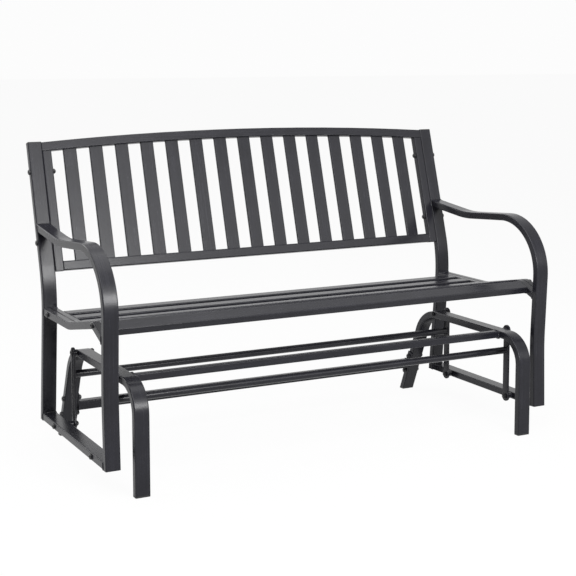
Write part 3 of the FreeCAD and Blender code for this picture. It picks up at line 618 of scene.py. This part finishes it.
def add_bead(work, path, axis, width, ripple, closed=True):
    """A weld bead along a path, rippled by each step of the torch, and tapered if it is open."""
    points = spaced(path, ripple / RIPPLE_STEPS, closed)
    last = len(points) - 1
    rings = []
    for i, point in enumerate(points):
        before = points[i - 1] if closed or i > 0 else point
        after = points[(i + 1) % len(points)] if closed or i < last else point
        outward = (after - before).cross(axis).normalized()
        radius = width / 2 * (1.0 + RIPPLE_SWELL * math.cos(2 * math.pi * i / RIPPLE_STEPS))
        if not closed:
            radius *= min(1.0, TAPER_START + TAPER_STEP * min(i, last - i))
        turns = [2 * math.pi * step / BEAD_STEPS for step in range(BEAD_STEPS)]
        rings.append([point + (axis * math.cos(t) + outward * math.sin(t)) * radius for t in turns])
    if not closed:
        rings = [[points[0]], *rings, [points[-1]]]
    add_rings(work, rings, closed)


def weld_end(work, node, axis, width, ripple):
    """Welds a tube all round at its end towards an axis."""
    outline = outline_of(end_points(corners_of(node), axis), axis)
    add_bead(work, outline, axis, width, ripple)


def weld_slat(work, node, axis, away, width, ripple):
    """Welds the end of a slat on all but its broad side towards a direction."""
    outline = outline_of(end_points(corners_of(node), axis), axis)
    thin = thin_direction(outline, axis)
    if thin.dot(away) < 0.0:
        thin = -thin
    add_bead(work, leave_open(outline, thin), axis, width, ripple, closed=False)


def up_the_back():
    """The direction of the back's slats, from foot to head."""
    points = corners_of("back_slat_08")
    low, high = box_of(points)
    middle = (low.z + high.z) / 2
    foot = outline_of(points_between(points, UPWARD, low.z, middle), UPWARD)
    head = outline_of(points_between(points, UPWARD, middle, high.z), UPWARD)
    line = middle_of(head) - middle_of(foot)
    return Vector((0.0, line.y, line.z)).normalized()


def round_ring(diameter):
    """Distances from the axis round a circle."""
    return [diameter / 2] * ROUND_STEPS


def hexagon_ring(flats, diameter=math.inf):
    """Distances from the axis round a hexagon, with its corners cut to a diameter where one is given."""
    corner_turn = math.radians(60.0)
    ring = []
    for step in range(ROUND_STEPS):
        from_flat = (2 * math.pi * step / ROUND_STEPS) % corner_turn - corner_turn / 2
        ring.append(min(flats / 2 / math.cos(from_flat), diameter / 2))
    return ring


def add_turned(work, foot, axis, stations, closed=False):
    """A piece about an axis.

    Each station is a distance along the axis and the distances from it, or none for a point on it.
    """
    first = axis.orthogonal().normalized()
    second = axis.cross(first)
    turns = [2 * math.pi * step / ROUND_STEPS for step in range(ROUND_STEPS)]
    rings = []
    for along, distances in stations:
        middle = foot + axis * along
        if not distances:
            rings.append([middle])
            continue
        spokes = [first * math.cos(turn) + second * math.sin(turn) for turn in turns]
        rings.append([middle + spoke * distance for spoke, distance in zip(spokes, distances)])
    add_rings(work, rings, closed)


def is_bolt(low, high, hardware):
    """Whether a box holds a bolt and not a nut, which is shorter than two bolt heads."""
    return high.x - low.x > 2 * hardware.head_height


def key_socket(top, mouth, bevel, hardware):
    """Stations down a key socket, from its round mouth to the point that its drill left."""
    flats = hardware.socket_flats
    floor = top - hardware.socket_depth
    return [
        (top, round_ring(flats * mouth)),
        (top - bevel, hexagon_ring(flats)),
        (floor, hexagon_ring(flats)),
        (floor - DRILL_POINT, None),
    ]


def threaded_shank(long, hardware):
    """Stations up a shank with a thread at its tip."""
    shank = hardware.shank_diameter
    pitch = hardware.thread_pitch
    stations = [(-long, None), (-long, round_ring(shank - pitch)), (pitch / 2 - long, round_ring(shank))]
    for turn in range(1, THREAD_TURNS + 1):
        stations.append(((turn + 0.5) * pitch - long, round_ring(shank - THREAD_DEPTH * pitch)))
        stations.append(((turn + 1.0) * pitch - long, round_ring(shank)))
    stations.append((0.0, round_ring(shank)))
    return stations


def button_head(diameter, hardware):
    """Stations from under a button head to the edge of its flat top."""
    rim = hardware.head_rim
    chamfer = mm(0.3)
    chamfer_fall = mm(0.8)
    stations = [(0.0, round_ring(diameter - chamfer_fall))]
    stations += [(chamfer, round_ring(diameter)), (rim, round_ring(diameter))]
    for step in CROWN_STEPS:
        rise = math.sin(step * math.pi / 2)
        fall = 1.0 - math.cos(step * math.pi / 2)
        height = rim + (hardware.head_height - rim) * rise
        stations.append((height, round_ring(diameter - (diameter - hardware.head_crown) * fall)))
    return stations


def add_bolt(work, seat, axis, long, diameter, hardware):
    """A button head bolt. The seat is under its head, and the axis points out of it."""
    mouth_bevel = mm(0.25)
    stations = [
        *threaded_shank(long, hardware),
        *button_head(diameter, hardware),
        *key_socket(hardware.head_height, BOLT_MOUTH, mouth_bevel, hardware),
    ]
    add_turned(work, seat, axis, stations)


def add_nut(work, seat, axis, thick, hardware):
    """A hexagon nut with a round locking collar. The axis points from its seat to its free end."""
    flats = hexagon_ring(hardware.nut_flats)
    chamfer_width = 1.02 * hardware.nut_flats
    chamfered = hexagon_ring(hardware.nut_flats, chamfer_width)
    collar = round_ring(hardware.nut_collar)
    bore = round_ring(hardware.shank_diameter + 2 * BORE_PLAY)
    chamfer = mm(0.7)
    shoulder = thick - mm(1.8)
    collar_edge = mm(0.5)
    collar_fall = mm(1.2)
    mouth_flare = mm(1.0)
    mouth_depth = mm(0.8)
    stations = [
        (0.0, bore),
        (0.0, chamfered),
        (chamfer, flats),
        (shoulder - chamfer, flats),
        (shoulder, chamfered),
        (shoulder, collar),
        (thick - collar_edge, collar),
        (thick, round_ring(hardware.nut_collar - collar_fall)),
        (thick, round_ring(hardware.shank_diameter + mouth_flare)),
        (thick - mouth_depth, bore),
    ]
    add_turned(work, seat, axis, stations, closed=True)


def add_plate(work, outlines, thick, edge, middle_x):
    """A flat plate in side view with rounded edges, from the outlines of its outside and its holes."""
    curve = bpy.data.curves.new("plate_outline", "CURVE")
    curve.dimensions = "2D"
    curve.fill_mode = "BOTH"
    curve.extrude = thick / 2 - edge
    curve.bevel_depth = edge
    curve.bevel_resolution = 2
    curve.offset = -edge
    for outline in outlines:
        spline = curve.splines.new("POLY")
        spline.points.add(len(outline) - 1)
        for point, (across, up) in zip(spline.points, outline):
            point.co = (across, up, 0.0, 1.0)
        spline.use_cyclic_u = True
    carrier = bpy.data.objects.new("plate_outline", curve)
    mesh = bpy.data.meshes.new_from_object(carrier)
    turn = Matrix((REARWARD, UPWARD, ALONG)).transposed()
    mesh.transform(Matrix.Translation(ALONG * middle_x) @ turn.to_4x4())
    work.from_mesh(mesh)
    bmesh.ops.remove_doubles(work, verts=work.verts, dist=SAME_PLATE_POINT)
    bpy.data.objects.remove(carrier)
    bpy.data.curves.remove(curve)
    bpy.data.meshes.remove(mesh)


def arc(middle, radius, start, finish, steps):
    """Points on an arc in side view, from one angle to another in degrees."""
    turns = [math.radians(start + (finish - start) * step / steps) for step in range(steps + 1)]
    return [(middle[0] + radius * math.cos(turn), middle[1] + radius * math.sin(turn)) for turn in turns]


def hole(middle, radius):
    """The outline of a round hole, which runs against that of the plate."""
    return arc(middle, radius, 360.0, 0.0, ROUND_STEPS)[:-1]


class GLIDERBENCH_OT_stand(bpy.types.Operator):
    """Powder coat on the two bent sides of the stand"""

    bl_idname = "gliderbench.stand"
    bl_label = "Stand Sides"

    def execute(self, context):
        coat_nodes(nodes_named("stand_side"), bent_tube_coat())
        return {"FINISHED"}


class GLIDERBENCH_OT_cross_tubes(bpy.types.Operator):
    """Powder coat on the stretchers of the stand and the round bars between the links"""

    bl_idname = "gliderbench.cross_tubes"
    bl_label = "Cross Tubes"

    def execute(self, context):
        coat_nodes(["front_stretcher", "rear_stretcher"], long_tube_coat())
        coat_nodes(["front_crossbar", "rear_crossbar"], long_tube_coat())
        return {"FINISHED"}


class GLIDERBENCH_OT_seat_frame(bpy.types.Operator):
    """Powder coat on the posts, arms, bottom rails, seat rails and spacers"""

    bl_idname = "gliderbench.seat_frame"
    bl_label = "Seat Frame"

    def execute(self, context):
        coat_nodes(nodes_named("post_left", "post_right", "arm_", "bottom_rail"), bent_tube_coat())
        coat_nodes(nodes_named("seat_rail", "seat_side_bar", "spacers"), bent_tube_coat())
        return {"FINISHED"}


class GLIDERBENCH_OT_seat_slats(bpy.types.Operator):
    """Powder coat on the slats of the seat"""

    bl_idname = "gliderbench.seat_slats"
    bl_label = "Seat Slats"

    def execute(self, context):
        coat_nodes(nodes_named("seat_slat"), long_tube_coat())
        return {"FINISHED"}


class GLIDERBENCH_OT_back(bpy.types.Operator):
    """Powder coat on the back's slats, uprights and rails"""

    bl_idname = "gliderbench.back"
    bl_label = "Back"

    def execute(self, context):
        coat_nodes(nodes_named("back_slat", "back_upright"), bent_tube_coat())
        coat_nodes(["back_top_rail", "back_lower_rail"], long_tube_coat())
        return {"FINISHED"}


class GLIDERBENCH_OT_links(bpy.types.Operator):
    """The four flat links, stamped from plate and tumbled"""

    bl_idname = "gliderbench.links"
    bl_label = "Links"

    def execute(self, context):
        hardware = context.scene.gliderbench_hardware
        for node in nodes_named("link_left", "link_right"):
            low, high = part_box(node)
            radius = (high.y - low.y) / 2
            middle_y = (high.y + low.y) / 2
            upper = (middle_y, high.z - radius)
            lower = (middle_y, low.z + radius)
            neck = math.degrees(math.asin(hardware.shaft_width / 2 / radius))
            outside = arc(upper, radius, neck - 90.0, 270.0 - neck, EYE_STEPS)
            outside += arc(lower, radius, 90.0 + neck, 450.0 - neck, EYE_STEPS)
            bore = hardware.shank_diameter / 2 + BORE_PLAY
            outlines = [outside, hole(upper, bore), hole(lower, bore)]
            body = body_holding(node)
            work = bmesh.new()
            add_plate(work, outlines, high.x - low.x, hardware.plate_edge, (high.x + low.x) / 2)
            add_piece(f"{node}_plate", work, bent_tube_coat(), body, [node])
        return {"FINISHED"}


class GLIDERBENCH_OT_flanges(bpy.types.Operator):
    """The end plates of the rear stretcher"""

    bl_idname = "gliderbench.flanges"
    bl_label = "Stretcher Flanges"

    def execute(self, context):
        hardware = context.scene.gliderbench_hardware
        node = "stretcher_flanges"
        body = body_holding(node)
        bore = hardware.shank_diameter / 2 + BORE_PLAY
        bolts = [box_of(solid) for solid in solids_of("stretcher_bolts")]
        work = bmesh.new()
        for solid in solids_of(node):
            low, high = box_of(solid)
            side = 1.0 if low.x > 0.0 else -1.0
            outlines = [[(point.y, point.z) for point in outline_of(solid, ALONG)]]
            for near, far in bolts:
                if near.x * side > 0.0 and is_bolt(near, far, hardware):
                    outlines.append(hole(((near.y + far.y) / 2, (near.z + far.z) / 2), bore))
            add_plate(work, outlines, high.x - low.x, hardware.plate_edge, (high.x + low.x) / 2)
        add_piece("stretcher_flange_plates", work, bent_tube_coat(), body, [node])
        return {"FINISHED"}


class GLIDERBENCH_OT_bolts(bpy.types.Operator):
    """Button head bolts with key sockets, and lock nuts on those that go right through"""

    bl_idname = "gliderbench.bolts"
    bl_label = "Bolts and Nuts"

    def execute(self, context):
        hardware = context.scene.gliderbench_hardware
        for node in nodes_named("bolts"):
            body = body_holding(node)
            work = bmesh.new()
            for solid in solids_of(node):
                low, high = box_of(solid)
                long = high.x - low.x
                middle = (low + high) / 2
                outward = ALONG if middle.x > 0.0 else -ALONG
                if is_bolt(low, high, hardware):
                    seat = middle + outward * (long / 2 - hardware.head_height)
                    add_bolt(work, seat, outward, long - hardware.head_height, high.y - low.y, hardware)
                else:
                    add_nut(work, middle + outward * (long / 2), -outward, long, hardware)
            add_piece(f"button_head_{node}", work, black_zinc_steel(), body, [node])
        return {"FINISHED"}


class GLIDERBENCH_OT_set_screws(bpy.types.Operator):
    """Round socket set screws under the rails of the stand"""

    bl_idname = "gliderbench.set_screws"
    bl_label = "Set Screws"

    def execute(self, context):
        hardware = context.scene.gliderbench_hardware
        node = "rail_set_screws"
        body = body_holding(node)
        nose = mm(2.0)
        nose_fall = mm(1.0)
        tip = mm(0.8)
        tip_fall = mm(3.0)
        mouth_bevel = mm(0.2)
        work = bmesh.new()
        for solid in solids_of(node):
            low, high = box_of(solid)
            long = high.z - low.z
            diameter = high.y - low.y
            top = (low + high) / 2 + UPWARD * (long / 2)
            stations = [
                (0.0, None),
                (0.0, round_ring(diameter)),
                (long - nose, round_ring(diameter)),
                (long - tip, round_ring(diameter - nose_fall)),
                (long, round_ring(diameter - tip_fall)),
                *key_socket(long, SCREW_MOUTH, mouth_bevel, hardware),
            ]
            add_turned(work, top, -UPWARD, stations)
        add_piece("socket_set_screws", work, black_zinc_steel(), body, [node])
        return {"FINISHED"}


class GLIDERBENCH_OT_foot_caps(bpy.types.Operator):
    """Moulded caps under the legs of the stand, with a soft sole edge and a shadow line at the tube"""

    bl_idname = "gliderbench.foot_caps"
    bl_label = "Foot Caps"

    def execute(self, context):
        hardware = context.scene.gliderbench_hardware
        level = hardware.foot_height
        gap = hardware.cap_gap
        for node in nodes_named("foot_cap"):
            points = corners_of(node)
            sole = even_outline(end_points(points, -UPWARD, RIM_DEPTH), UPWARD)
            near_brim = points_between(points, UPWARD, level - RIM_DEPTH, level + RIM_DEPTH)
            brim = outline_of(near_brim, UPWARD)
            drift = middle_of(brim) - middle_of(sole)
            profile = [(rise * hardware.cap_edge, out * hardware.cap_edge) for rise, out in SOLE_EDGE]
            profile += [(level - gap, 0.0), (level - gap, -gap), (level, -gap)]
            rings = []
            for rise, out in profile:
                lifted = [point + drift * (rise / level) for point in sole]
                rings.append(grown(lifted, UPWARD, out))
            middle = middle_of(sole)
            body = body_holding(node)
            work = bmesh.new()
            add_rings(work, [[middle], *rings, [middle + drift]])
            add_piece(f"moulded_{node}", work, moulded_polypropylene(), body, [node])
        return {"FINISHED"}


class GLIDERBENCH_OT_post_caps(bpy.types.Operator):
    """Moulded caps on the posts with a low crown, and plugs in the open ends below"""

    bl_idname = "gliderbench.post_caps"
    bl_label = "Post Caps"

    def execute(self, context):
        hardware = context.scene.gliderbench_hardware
        node = "post_caps"
        body = body_holding(node)
        tall = hardware.cap_height
        gap = hardware.cap_gap
        up = up_the_back()
        profile = [(-tall, -gap), (gap - tall, -gap), (gap - tall, 0.0)]
        profile += [(rise * hardware.cap_edge, out * hardware.cap_edge) for rise, out in CROWN_EDGE]
        work = bmesh.new()
        for solid in solids_of(node):
            top = even_outline(end_points(solid, up, RIM_DEPTH), up)
            middle = middle_of(top)
            rings = [grown([point + up * rise for point in top], up, out) for rise, out in profile]
            add_rings(work, [[middle - up * tall], *rings, [middle]])
        add_piece("moulded_post_caps", work, moulded_polypropylene(), body, [node])
        coat_nodes(["frame_end_plugs"], moulded_polypropylene())
        return {"FINISHED"}


class GLIDERBENCH_OT_seat_welds(bpy.types.Operator):
    """Weld beads where the slats of the seat meet its side bars"""

    bl_idname = "gliderbench.seat_welds"
    bl_label = "Seat Welds"

    def execute(self, context):
        hardware = context.scene.gliderbench_hardware
        work = bmesh.new()
        for node in nodes_named("seat_slat"):
            for axis in (ALONG, -ALONG):
                weld_slat(work, node, axis, UPWARD, hardware.slat_bead_width, hardware.ripple)
        body = body_holding("seat_slat_1")
        add_piece("seat_slat_welds", work, long_tube_coat(), body)
        return {"FINISHED"}


class GLIDERBENCH_OT_back_welds(bpy.types.Operator):
    """Weld beads where the slats and uprights of the back meet its rails"""

    bl_idname = "gliderbench.back_welds"
    bl_label = "Back Welds"

    def execute(self, context):
        hardware = context.scene.gliderbench_hardware
        up = up_the_back()
        work = bmesh.new()
        for node in nodes_named("back_slat"):
            for axis in (up, -up):
                weld_slat(work, node, axis, -REARWARD, hardware.slat_bead_width, hardware.ripple)
        for node in nodes_named("back_upright"):
            weld_end(work, node, up, hardware.ground_bead_width, hardware.ripple)
        for axis in (ALONG, -ALONG):
            weld_end(work, "back_lower_rail", axis, hardware.ground_bead_width, hardware.ripple)
        body = body_holding("back_slat_01")
        add_piece("back_frame_welds", work, bent_tube_coat(), body)
        return {"FINISHED"}


class GLIDERBENCH_OT_frame_welds(bpy.types.Operator):
    """Weld beads where arms, bottom rails and seat bars meet the posts and legs"""

    bl_idname = "gliderbench.frame_welds"
    bl_label = "Frame Welds"

    def execute(self, context):
        hardware = context.scene.gliderbench_hardware
        work = bmesh.new()
        for node in nodes_named("bottom_rail", "seat_rail", "seat_side_bar"):
            for axis in (REARWARD, -REARWARD):
                weld_end(work, node, axis, hardware.bead_width, hardware.ripple)
        up = up_the_back()
        behind = Vector((0.0, up.z, -up.y))
        for node in nodes_named("arm_"):
            weld_end(work, node, behind, hardware.bead_width, hardware.ripple)
        body = body_holding("arm_left")
        add_piece("side_frame_welds", work, bent_tube_coat(), body)
        return {"FINISHED"}


class GLIDERBENCH_OT_stand_welds(bpy.types.Operator):
    """Weld beads at the ends of the stretchers and of the round bars between the links"""

    bl_idname = "gliderbench.stand_welds"
    bl_label = "Stand and Link Welds"

    def execute(self, context):
        hardware = context.scene.gliderbench_hardware
        groups = {
            "stretcher_welds": ["front_stretcher", "rear_stretcher"],
            "front_crossbar_welds": ["front_crossbar"],
            "rear_crossbar_welds": ["rear_crossbar"],
        }
        for name, nodes in groups.items():
            work = bmesh.new()
            for node in nodes:
                for axis in (ALONG, -ALONG):
                    weld_end(work, node, axis, hardware.bead_width, hardware.ripple)
            add_piece(name, work, long_tube_coat(), body_holding(nodes[0]))
        return {"FINISHED"}


def add_camera(studio):
    """The camera at the photograph's viewing angle."""
    data = bpy.data.cameras.new("studio_camera")
    data.sensor_width = 36.0
    data.lens = studio.camera_lens
    data.shift_x, data.shift_y = studio.camera_shift
    camera = bpy.data.objects.new("studio_camera", data)
    yaw, pitch, roll = studio.camera_yaw, studio.camera_pitch, studio.camera_roll
    ahead = Vector((math.sin(yaw) * math.cos(pitch), math.cos(yaw) * math.cos(pitch), -math.sin(pitch)))
    level = Vector((math.cos(yaw), -math.sin(yaw), 0.0))
    under = ahead.cross(level)
    right = level * math.cos(roll) + under * math.sin(roll)
    down = under * math.cos(roll) - level * math.sin(roll)
    turn = Matrix((right, -down, -ahead)).transposed()
    camera.matrix_world = Matrix.Translation(studio.camera_place) @ turn.to_4x4()
    bpy.context.scene.collection.objects.link(camera)
    bpy.context.scene.camera = camera


def seen_directly(tree):
    """1 for the rays that show the room itself: from the camera, in a reflection or through glass."""
    path = add_node(tree, "ShaderNodeLightPath").outputs
    seen = path["Is Camera Ray"]
    for ray in ("Is Glossy Ray", "Is Transmission Ray"):
        seen = add_node(
            tree, "ShaderNodeMath", None, {0: seen, 1: path[ray]}, operation="MAXIMUM"
        ).outputs["Value"]
    return seen


def add_room(studio):
    """White all round: near white where it is seen, and a plain level where it lights the bench."""
    world = bpy.data.worlds.new("studio_room")
    world.use_nodes = True
    tree = world.node_tree
    tree.nodes.clear()
    lit = add_node(
        tree, "ShaderNodeBackground", {"Color": WHITE, "Strength": studio.room_light}
    ).outputs["Background"]
    seen = add_node(
        tree, "ShaderNodeBackground", {"Color": WHITE, "Strength": studio.room_white}
    ).outputs["Background"]
    mixed = add_node(
        tree, "ShaderNodeMixShader", None, {0: seen_directly(tree), 1: lit, 2: seen}
    ).outputs["Shader"]
    add_node(tree, "ShaderNodeOutputWorld", None, {"Surface": mixed})
    bpy.context.scene.world = world


def background_paper(studio):
    """Matt paper rolled out as a floor.

    To the eye it is an even white that keeps the bench's soft shadow. Its fibre is drawn at 4 mm, so
    that it shows.
    """
    material, tree = new_material("background_paper")
    place = add_node(tree, "ShaderNodeTexCoord").outputs["Object"]
    fibre_width = mm(4.0)
    fibre_depth = mm(0.1)
    fibre = add_node(
        tree, "ShaderNodeTexNoise", {"Scale": 1.0 / fibre_width, "Detail": 2.0}, {"Vector": place}
    ).outputs["Fac"]
    bump = add_node(
        tree, "ShaderNodeBump", {"Strength": 0.05, "Distance": fibre_depth}, {"Height": fibre}
    ).outputs["Normal"]
    paper = add_node(
        tree, "ShaderNodeBsdfDiffuse", {"Color": studio.floor_colour}, {"Normal": bump}
    ).outputs["BSDF"]
    glow = add_node(tree, "ShaderNodeEmission", {"Color": WHITE, "Strength": 1.0}).outputs["Emission"]
    share = add_node(
        tree, "ShaderNodeMath", {1: studio.floor_glow}, {0: seen_directly(tree)}, operation="MULTIPLY"
    ).outputs["Value"]
    mixed = add_node(tree, "ShaderNodeMixShader", None, {0: share, 1: paper, 2: glow}).outputs["Shader"]
    add_node(tree, "ShaderNodeOutputMaterial", None, {"Surface": mixed})
    return material


def add_floor(studio):
    """A wide flat floor under the feet."""
    reach = 80.0
    mesh = bpy.data.meshes.new("studio_floor")
    corners = [(-reach, -reach, 0.0), (reach, -reach, 0.0), (reach, reach, 0.0), (-reach, reach, 0.0)]
    mesh.from_pydata(corners, [], [(0, 1, 2, 3)])
    mesh.materials.append(background_paper(studio))
    floor = bpy.data.objects.new("studio_floor", mesh)
    bpy.context.scene.collection.objects.link(floor)


def add_softbox(name, place, size, power):
    """A square soft light that faces the middle of the bench."""
    data = bpy.data.lights.new(name, "AREA")
    data.shape = "SQUARE"
    data.size = size
    data.energy = power
    lamp = bpy.data.objects.new(name, data)
    lamp.location = place
    lamp.rotation_mode = "QUATERNION"
    lamp.rotation_quaternion = (Vector(SOFTBOX_AIM) - Vector(place)).to_track_quat("-Z", "Y")
    bpy.context.scene.collection.objects.link(lamp)


class GLIDERBENCH_OT_studio(bpy.types.Operator):
    """White paper floor, soft lights and the camera"""

    bl_idname = "gliderbench.studio"
    bl_label = "Studio"

    def execute(self, context):
        studio = context.scene.gliderbench_studio
        add_camera(studio)
        add_room(studio)
        add_floor(studio)
        for name, (place, size, power) in SOFTBOXES.items():
            add_softbox(name, place, size, power)
        context.scene.view_settings.view_transform = "Standard"
        return {"FINISHED"}


OPERATORS = (
    GLIDERBENCH_OT_stand,
    GLIDERBENCH_OT_cross_tubes,
    GLIDERBENCH_OT_seat_frame,
    GLIDERBENCH_OT_seat_slats,
    GLIDERBENCH_OT_back,
    GLIDERBENCH_OT_links,
    GLIDERBENCH_OT_flanges,
    GLIDERBENCH_OT_bolts,
    GLIDERBENCH_OT_set_screws,
    GLIDERBENCH_OT_foot_caps,
    GLIDERBENCH_OT_post_caps,
    GLIDERBENCH_OT_seat_welds,
    GLIDERBENCH_OT_back_welds,
    GLIDERBENCH_OT_frame_welds,
    GLIDERBENCH_OT_stand_welds,
    GLIDERBENCH_OT_studio,
)


class GLIDERBENCH_PT_bench(bpy.types.Panel):
    """Settings and steps of the glider bench in the 3D view's sidebar"""

    bl_idname = "GLIDERBENCH_PT_bench"
    bl_label = "Glider Bench"
    bl_space_type = "VIEW_3D"
    bl_region_type = "UI"
    bl_category = "Glider Bench"

    def draw(self, context):
        scene = context.scene
        for group in (scene.gliderbench_coat, scene.gliderbench_hardware, scene.gliderbench_studio):
            box = self.layout.box()
            for name in group.__annotations__:
                box.prop(group, name)
        for operator in OPERATORS:
            self.layout.operator(operator.bl_idname)


CLASSES = (
    GLIDERBENCH_PG_coat,
    GLIDERBENCH_PG_hardware,
    GLIDERBENCH_PG_studio,
    *OPERATORS,
    GLIDERBENCH_PT_bench,
)


def register():
    """Registers the classes and puts the settings on the scene."""
    for cls in CLASSES:
        bpy.utils.register_class(cls)
    bpy.types.Scene.gliderbench_coat = bpy.props.PointerProperty(type=GLIDERBENCH_PG_coat)
    bpy.types.Scene.gliderbench_hardware = bpy.props.PointerProperty(type=GLIDERBENCH_PG_hardware)
    bpy.types.Scene.gliderbench_studio = bpy.props.PointerProperty(type=GLIDERBENCH_PG_studio)


def unregister():
    """Takes the settings and the classes away again."""
    del bpy.types.Scene.gliderbench_studio
    del bpy.types.Scene.gliderbench_hardware
    del bpy.types.Scene.gliderbench_coat
    for cls in reversed(CLASSES):
        bpy.utils.unregister_class(cls)


def main():
    """Runs every step in order."""
    register()
    for operator in OPERATORS:
        step = operator.bl_idname.split(".")[1]
        getattr(bpy.ops.gliderbench, step)()


if __name__ == "__main__":
    main()
